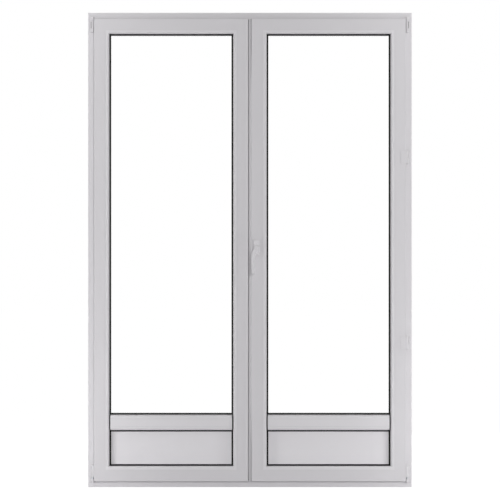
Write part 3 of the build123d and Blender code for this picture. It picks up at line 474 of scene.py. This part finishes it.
low, high = span("stop_seal")
bulb = bulbProfile(sealSettings["stopWidth"], high[1], low[1])
around = pathSweep(bulb, ringOf(low, high), True)
meshPiece("frameStopSeal", [around], "frame", "black_seal", replaced=["stop_seal"])
low, high = span("left_astragal_seal")
bulb = bulbProfile(high[0] - low[0], high[1], low[1])
run = runSweep(bulb, (low[0], 0, low[2]), (low[0], 0, high[2]), (1, 0, 0), (0, 1, 0))
meshPiece("astragalSeal", [run], "left_leaf", "black_seal", replaced=["left_astragal_seal"])
for side in sides:
    s = sealSettings
    low, high = span(f"{side}_lip_seal")
    armLow, armHigh = span(f"{side}_hinge_arms")
    bulb = bulbProfile(s["lipWidth"], low[1], high[1])
    a, b, c, d = ringOf(low, high)
    x = a[0] if side == "left" else b[0]  # the hinge side, where the arms of the hinges pass
    cuts = [(x, armLow[2] - s["armGap"]), (x, armLow[2] + s["bottomArm"] + s["armGap"]),
            (x, armHigh[2] - s["topArm"] - s["armGap"]), (x, armHigh[2] + s["armGap"])]
    around = [cuts[0], a, b, c, d, cuts[3]] if side == "left" else [cuts[3], c, d, a, b, cuts[0]]
    between = [cuts[2], cuts[1]] if side == "left" else [cuts[1], cuts[2]]
    runs = [pathSweep(bulb, around, False), pathSweep(bulb, between, False)]
    meshPiece(f"{side}LipSeal", runs, f"{side}_leaf", "black_seal", replaced=[f"{side}_lip_seal"])

# Ends of the middle rail: a white cap with the rail's outline, and a sunk rubber pad between cap and bead.
padSettings = {"cap": 2.0, "pad": 5.0, "padDrop": 11.0, "face": 23.5, "heelDepth": 12.0,
               "roll": 0.7, "steps": 7}
for side in sides:
    s = padSettings
    low, high = span(f"{side}_mid_rail_end_seals")
    slope = high[1] - s["heelDepth"]
    middle = (low[2] + high[2]) / 2
    capRows = [(high[1], low[2]), (slope, low[2]), (low[1], middle - s["face"])]
    padRows = [(high[1], low[2]), (slope, low[2]), (low[1] + s["padDrop"], middle - s["face"])]
    caps, pads = [], []
    for rows, made, thick, inset in ((capRows, caps, s["cap"], s["pad"]), (padRows, pads, s["pad"], 0.0)):
        half = np.array(rows)
        mirrored = (half * (1, -1) + (0, 2 * middle))[::-1]
        outline = np.vstack([half, mirrored])
        for start in (low[0] + inset, high[0] - inset - thick):
            made.append(rolledRun(outline, start, start + thick, s, False))
    meshPiece(f"{side}RailCaps", caps, f"{side}_leaf", "white_plastic")
    meshPiece(f"{side}RailPads", pads, f"{side}_leaf", "black_seal", replaced=[f"{side}_mid_rail_end_seals"])

# Closing lip: a white tongue on the right leaf's edge that covers the gap as far as the astragal's rib, and
# draws back towards its ends, where the gap shows wider.
lipSettings = {"reach": 3.6, "endReach": 0.9, "taper": (90.0, 400.0), "depth": -50.5, "half": 1.1,
               "endGap": 0.8, "tuck": 0.6, "steps": 16, "rows": 80}
s = lipSettings
low, high = span("right_hinge_stile", "right_meeting_stile")
# Reach eases over the taper as 3t^2 - 2t^3. Across is the root of sin, depth follows cos.
z = np.linspace(low[2] + s["endGap"], high[2] - s["endGap"], s["rows"])[:, None]
fromEnd = np.minimum(z - low[2], high[2] - z)
near, far = s["taper"]
share = np.clip((fromEnd - near) / (far - near), 0, 1)
reach = s["endReach"] + (s["reach"] - s["endReach"]) * share ** 2 * (3 - 2 * share)
turn = np.linspace(0, np.pi, s["steps"])
root = np.full_like(z, low[0] + s["tuck"])
x = np.hstack([root, low[0] - reach * np.sqrt(np.sin(turn)), root])
y = s["depth"] - s["half"] * np.cos(np.concatenate([turn[:1], turn, turn[-1:]]))
grid = np.stack([x, np.broadcast_to(y, x.shape), np.broadcast_to(z, x.shape)], axis=-1)
run = grid, False, True, True
meshPiece("closingLip", [run], "right_leaf", "white_pvc", finish="sashz")

# Ends of the astragal's rib: white plugs that carry it on to the ends of the leaf.
plugSettings = {"half": 3.4, "depth": (-49.9, -37.0), "gap": 0.2, "roll": 0.5, "steps": 6}
s = plugSettings
capLow, capHigh = span("left_astragal_caps")
outline = rectangle((-s["half"], s["half"]), s["depth"])
ends = ((low[2] + s["gap"], capLow[2] - s["gap"]), (capHigh[2] + s["gap"], high[2] - s["gap"]))
plugs = [rolledRun(outline, start, end, s) for start, end in ends]
meshPiece("ribPlugs", plugs, "left_leaf", "white_plastic")
print("seals made")

# Lever: a squarish oval carried down a bowed line, domed at both ends, on a turned neck.
leverSettings = {
    "spindle": (31.0, 1112.0), "middleY": -98.0,
    "bow": [(31.4, 1121.8), (30.4, 1110.0), (25.6, 1099.0), (19.2, 1090.0), (15.6, 1074.0), (14.6, 1048.0),
            (14.9, 1014.0), (15.4, 987.2)],
    "halfWidth": [9.4, 10.2, 9.8, 9.0, 8.5, 8.4, 8.0, 7.2],
    "halfThick": [5.6, 5.85, 5.9, 5.9, 5.95, 5.95, 5.9, 5.6],
    "along": 110, "around": 60, "square": 3.0, "dome": 6.0, "flatEnd": 0.4, "leastSwell": 1e-3,
    "neck": [(-60.0, 8.0), (-63.2, 8.0), (-66.0, 7.9), (-78.0, 7.6), (-86.0, 7.9), (-92.0, 8.6),
             (-97.0, 8.8)],
    "neckSteps": 36, "neckAround": 48, "crease": 50.0,
}


def leverPatch(s):
    # Oval: signed |cos|^(2/n), |sin|^(2/n) of the turn. Within a dome's length of each end the width falls
    # as a quarter circle. Across is square to the bowed line.
    rail = smoothCurve(np.column_stack([s["bow"], s["halfWidth"], s["halfThick"]]), s["along"])
    step = np.gradient(rail[:, :2], axis=0)
    step /= np.linalg.norm(step, axis=1)[:, None]
    across = np.column_stack([-step[:, 1], step[:, 0]])
    length = np.concatenate([[0], np.cumsum(np.linalg.norm(np.diff(rail[:, :2], axis=0), axis=1))])
    fromEnd = np.minimum(length, length[-1] - length) / s["dome"]
    swell = np.sqrt(np.clip(1 - (1 - np.clip(fromEnd, 0, 1)) ** 2, s["leastSwell"], 1))
    turn = np.linspace(0, 2 * np.pi, s["around"], endpoint=False)
    ovalX = np.sign(np.cos(turn)) * np.abs(np.cos(turn)) ** (2 / s["square"])
    ovalY = np.sign(np.sin(turn)) * np.abs(np.sin(turn)) ** (2 / s["square"])
    width = (rail[:, 2] * swell)[:, None] * ovalX
    thick = (rail[:, 3] * (s["flatEnd"] + (1 - s["flatEnd"]) * swell))[:, None] * ovalY
    x = rail[:, :1] + across[:, :1] * width
    z = rail[:, 1:2] + across[:, 1:] * width
    return np.stack([x, s["middleY"] + thick, z], axis=-1), False, True, True


s = leverSettings
neckLine = smoothCurve(np.array(s["neck"]), s["neckSteps"])
neck = turnedPatch(neckLine, s["spindle"], s["neckAround"], False)
meshPiece("handleLever", [leverPatch(s), neck], "handle", "white_handle", s["crease"], ["handle_lever"])

# Rosette: a plate with round corners and a rolled front edge.
rosetteSettings = {"half": (14.0, 35.0), "depth": (-53.0, -63.0), "corner": 6.0, "roll": 2.4, "around": 96,
                   "steps": 9, "flat": 7.0, "least": 0.5, "startTurn": 0.01, "crease": 35.0}


def rosettePatch(s, x, z):
    # Each row is the same rounded rectangle, drawn in by r(1 - cos t) and raised by r sin t. The turn starts
    # a little past zero, so that no point lies on an axis, where it would have no sign.
    turn = np.linspace(0, 2 * np.pi, s["around"], endpoint=False) + s["startTurn"]
    c, d = np.cos(turn), np.sin(turn)
    edge = np.linspace(0, np.pi / 2, s["steps"])
    back, front = s["depth"]
    inset = np.concatenate([[0.0], s["roll"] * (1 - np.cos(edge)), [s["flat"]]])[:, None]
    y = np.concatenate([[back], front + s["roll"] * (1 - np.sin(edge)), [front]])[:, None]
    bend = np.maximum(s["corner"] - inset, s["least"])
    px = x + np.sign(c) * (s["half"][0] - inset - bend) + bend * c
    pz = z + np.sign(d) * (s["half"][1] - inset - bend) + bend * d
    return np.stack([px, np.broadcast_to(y, px.shape), pz], axis=-1), False, True, True


s = rosetteSettings
plate = rosettePatch(s, *leverSettings["spindle"])
meshPiece("handleRosette", [plate], "right_leaf", "white_handle", s["crease"], ["right_rosette"])
print("handle made")

# Hinge sleeves: a white cover over each lower knuckle, round about the pin and flat towards the leaf, and
# a turned bush that shows below it. Places are from the pin's axis, with x counted outwards.
sleeveSettings = {
    "axis": (729.0, -42.0), "heights": (47.6, 102.4), "radius": 6.6, "arc": (-30.0, 180.0), "arcSteps": 30,
    "web": [(-6.6, -9.9), (-6.1, -10.4), (-1.4, -10.4), (0.9, -9.3), (3.0, -7.2), (4.6, -5.2)],
    "roll": 1.2, "steps": 7,
    "bush": [(38.1, 4.5), (39.0, 4.9), (40.0, 4.6), (41.0, 3.9), (45.2, 3.9), (46.0, 4.3), (46.7, 4.1)],
    "bushSteps": 26, "bushAround": 40,
}
for side, sign in sides.items():
    s = sleeveSettings
    arc = np.radians(np.linspace(*s["arc"], s["arcSteps"]))
    outline = np.vstack([s["radius"] * np.column_stack([np.cos(arc), np.sin(arc)]), s["web"]])
    outline = (outline + s["axis"]) * (sign, 1)
    sleeve = rolledRun(outline, *s["heights"], s)
    meshPiece(f"{side}HingeSleeve", [sleeve], f"{side}_leaf", "white_hinge")
    line = smoothCurve(np.array(s["bush"]), s["bushSteps"])
    bush = turnedPatch(line, (sign * s["axis"][0], s["axis"][1]), s["bushAround"], True)
    meshPiece(f"{side}PivotBush", [bush], "frame", "zinc_plated_steel")

# A thin black pad on the frame behind each top knuckle, with a rim that stands on the bracket's flat:
# painted shade, a dark sheet put where the knuckle's shadow falls.
knuckleShadeSettings = {"pad": (722.3, 736.0), "padRise": 0.7, "rim": (735.9, 736.9), "rimRise": 3.4, "sink": 0.1,
                "heights": (2128.2, 2158.8), "roll": 0.2, "steps": 5}
for side, sign in sides.items():
    s = knuckleShadeSettings
    face = span(f"{side}_jamb")[0][1]
    shadePads = []
    for across, rise in ((s["pad"], s["padRise"]), (s["rim"], s["rimRise"])):
        outline = rectangle(across, (face - rise, face + s["sink"])) * (sign, 1)
        shadePads.append(rolledRun(outline, *s["heights"], s))
    meshPiece(f"{side}HingeShadePad", shadePads, "frame", "black_seal")
print("hinge covers made")

# Weld seams: a low bead along each mitre, left after the corner is cleaned.
weldSettings = {"halfWidth": 1.0, "rise": 0.14, "sink": 0.1, "steps": 11,
                "frameRoom": (2.5, 32.0), "frameOut": (2.5, 49.0),
                "leafRoom": (3.0, 52.5), "leafOut": (18.0, 68.0)}


def weldRuns(ring, reach, y, outward):
    # Half an ellipse carried along the diagonal of each corner, between two distances from the edge.
    s = weldSettings
    turn = np.linspace(0, np.pi, s["steps"])
    height = (s["rise"] + s["sink"]) * np.sin(turn) - s["sink"]
    seam = np.column_stack([-s["halfWidth"] * np.cos(turn), height])
    runs = []
    for (x, z), (dx, dz) in zip(ring, ((1, 1), (-1, 1), (-1, -1), (1, -1))):
        start, end = ((x + dx * step, y, z + dz * step) for step in reach)
        across = (dz / math.sqrt(2), 0, -dx / math.sqrt(2))
        runs.append(runSweep(seam, start, end, across, (0, outward, 0)))
    return runs


s = weldSettings
low, high = span("head", "sill", "left_jamb", "right_jamb")
runs = weldRuns(ringOf(low, high), s["frameRoom"], low[1], -1)
runs += weldRuns(ringOf(low, high), s["frameOut"], high[1], 1)
meshPiece("frameWelds", runs, "frame", "white_pvc", finish="frameloop")
for side in sides:
    low, high = span(f"{side}_hinge_stile", f"{side}_meeting_stile")
    runs = weldRuns(ringOf(low, high), s["leafRoom"], low[1], -1)
    runs += weldRuns(ringOf(low, high), s["leafOut"], high[1], 1)
    meshPiece(f"{side}Welds", runs, f"{side}_leaf", "white_pvc", finish="sashloop")
print("welds made")

# Screws of the lock hardware: shallow domes with a cross recess.
screwSettings = {
    "radius": 2.6, "rise": 0.3, "domePower": 4, "sink": 0.3, "rings": 14, "around": 44, "crease": 30.0,
    "slotHalf": 0.5, "slotReach": 1.55, "slotDepth": 0.8, "wall": 0.09,
    "plateHeights": [40.0, 530.0, 910.0, 1175.0, 1530.0, 2020.0],
    "keepCount": 4, "keepInset": (14.0, 28.0), "keepSteps": (-11.2, 21.0), "keepPlace": (2.0, 4.5),
    "strikeInset": 6.0, "strikeThick": 2.0,
}


def screwPatch(centre, out):
    # Height is h(1 - r^p) less the cross: each arm is a product of two steep smooth steps.
    s = screwSettings
    share = np.linspace(0, 1, s["rings"])[:, None]
    turn = np.linspace(0, 2 * np.pi, s["around"], endpoint=False)
    a = s["radius"] * share * np.cos(turn)
    b = s["radius"] * share * np.sin(turn)
    narrowA, narrowB = (1 / (1 + np.exp((np.abs(p) - s["slotHalf"]) / s["wall"])) for p in (a, b))
    longA, longB = (1 / (1 + np.exp((np.abs(p) - s["slotReach"]) / s["wall"])) for p in (a, b))
    cross = np.maximum(narrowA * longB, narrowB * longA)
    height = s["rise"] * (1 - share ** s["domePower"]) - s["slotDepth"] * cross
    height = np.vstack([height, np.full((1, s["around"]), -s["sink"])])
    a = np.vstack([a, a[-1:]])
    b = np.vstack([b, b[-1:]])
    out = np.array(out, dtype=float)
    sideA = np.roll(np.abs(out), 1)
    sideB = np.cross(out, sideA)
    grid = np.array(centre) + a[..., None] * sideA + b[..., None] * sideB + height[..., None] * out
    return grid, False, True, True


s = screwSettings
low, high = span("right_faceplate")
middle = (low[1] + high[1]) / 2
rows = [screwPatch((low[0], middle, low[2] + up), (-1, 0, 0)) for up in s["plateHeights"]]
meshPiece("faceplateScrews", rows, "right_leaf", "zinc_plated_steel", s["crease"])
low, high = span("left_cam_keeps")
cams = np.linspace(low[2] + s["keepInset"][0], high[2] - s["keepInset"][1], s["keepCount"])
place = (low[0] + s["keepPlace"][0], high[1] - s["keepPlace"][1])
rows = [screwPatch((*place, cam + step), (1, 0, 0)) for cam in cams for step in s["keepSteps"]]
meshPiece("keepScrews", rows, "left_leaf", "zinc_plated_steel", s["crease"])
low, high = span("bolt_strikes")
middle = (low[1] + high[1]) / 2
rows = []
for x in (low[0] + s["strikeInset"], high[0] - s["strikeInset"]):
    rows.append(screwPatch((x, middle, low[2] + s["strikeThick"]), (0, 0, 1)))
    rows.append(screwPatch((x, middle, high[2] - s["strikeThick"]), (0, 0, -1)))
meshPiece("strikeScrews", rows, "frame", "zinc_plated_steel", s["crease"])
print("screws made")

# Floor and background
stageSettings = {"floorHalf": 40.0, "floorTone": "#EDEDEE", "shadowShare": 0.18, "glow": 1.18,
                 "skyLight": 0.22, "skySeen": 1.0}
floorMesh = bpy.data.meshes.new("floor")
corners = np.array([(-1, -1, 0), (1, -1, 0), (1, 1, 0), (-1, 1, 0)]) * stageSettings["floorHalf"]
floorMesh.from_pydata(corners.tolist(), [], [(0, 1, 2, 3)])
floor = bpy.data.objects.new("floor", floorMesh)
scene.collection.objects.link(floor)
floor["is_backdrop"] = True
material, tree, place = startMaterial("paleFloor")
floorMesh.materials.append(material)
world = bpy.data.worlds.new("studio")
world.use_nodes = True
world.node_tree.nodes.clear()
scene.world = world
for tree in (material.node_tree, world.node_tree):  # what the camera, mirrors and glass see is plain white
    path = put(tree, "ShaderNodeLightPath")
    seen = put(tree, "ShaderNodeMath", {"operation": "MAXIMUM"},
               links={0: path.outputs["Is Camera Ray"], 1: path.outputs["Is Glossy Ray"]})
    seen = put(tree, "ShaderNodeMath", {"operation": "MAXIMUM"},
               links={0: seen.outputs[0], 1: path.outputs["Is Transmission Ray"]})
    if tree is world.node_tree:
        dim = put(tree, "ShaderNodeBackground",
                  values={"Strength": stageSettings["skyLight"], "Color": (1, 1, 1, 1)})
        bright = put(tree, "ShaderNodeBackground",
                     values={"Strength": stageSettings["skySeen"], "Color": (1, 1, 1, 1)})
        output = "ShaderNodeOutputWorld"
    else:
        dim = put(tree, "ShaderNodeBsdfDiffuse", values={"Color": hexLinear(stageSettings["floorTone"])})
        bright = put(tree, "ShaderNodeEmission", values={"Strength": stageSettings["glow"]})
        output = "ShaderNodeOutputMaterial"
        seen = put(tree, "ShaderNodeMath", {"operation": "MULTIPLY"}, {1: 1 - stageSettings["shadowShare"]},
                   {0: seen.outputs[0]})
    both = put(tree, "ShaderNodeMixShader",
               links={0: seen.outputs[0], 1: dim.outputs[0], 2: bright.outputs[0]})
    put(tree, output, links={"Surface": both.outputs[0]})

# Tall soft boxes beside the door, a key a little to the right behind the camera, and one behind the door
rigSettings = {
    "sideX": 1.3, "sideY": -0.7, "aimX": 0.45, "sideWidth": 0.4, "aim": (0.0, 0.0, 1.1),
    # Height, length and watts of each side lamp
    "side": {"main": (1.52, 2.8, 6.2), "low": (0.13, 0.36, 2.4), "high": (2.75, 0.5, 2.8)},
    "leftShare": 1.06, "rightShare": 0.92,
    "front": ((1.1, -5.0, 1.95), 0.25, 64.0), "back": ((0.0, 4.0, 1.7), 2.6, 60.0),  # place, size, watts
}
s = rigSettings
lamps = []
for name in ("front", "back"):
    place, size, watts = s[name]
    lamps.append((f"{name}Box", place, s["aim"], size, size, watts))
for side, sign in sides.items():
    for level, (height, length, watts) in s["side"].items():
        place = (sign * s["sideX"], s["sideY"], height)
        aim = (sign * s["aimX"], 0.0, height)
        watts = watts * s[f"{side}Share"]
        lamps.append((f"{side}{level.title()}Box", place, aim, s["sideWidth"], length, watts))
for name, place, aim, width, height, watts in lamps:
    lamp = bpy.data.lights.new(name, "AREA")
    lamp.shape = "RECTANGLE"
    lamp.size = width
    lamp.size_y = height
    lamp.energy = watts
    holder = bpy.data.objects.new(name, lamp)
    holder.visible_camera = False
    holder.visible_transmission = False
    holder.visible_glossy = name not in ("frontBox", "backBox")
    holder.location = place
    holder.rotation_euler = (Vector(aim) - Vector(place)).to_track_quat("-Z", "Y").to_euler()
    scene.collection.objects.link(holder)

cameraSettings = {"place": (0.0004, -14.0, 1.1), "faceY": -0.035, "viewWidth": 2.319, "sensor": 36.0,
                  "clipEnd": 200.0}
s = cameraSettings
camera = bpy.data.cameras.new("camera")
camera.sensor_width = s["sensor"]
camera.lens = camera.sensor_width * (s["faceY"] - s["place"][1]) / s["viewWidth"]
camera.clip_end = s["clipEnd"]
holder = bpy.data.objects.new("camera", camera)
holder.location = s["place"]
holder.rotation_euler = (math.pi / 2, 0, 0)
scene.collection.objects.link(holder)
scene.camera = holder
scene.view_settings.view_transform = "Standard"
print("stage ready")

low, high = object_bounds()
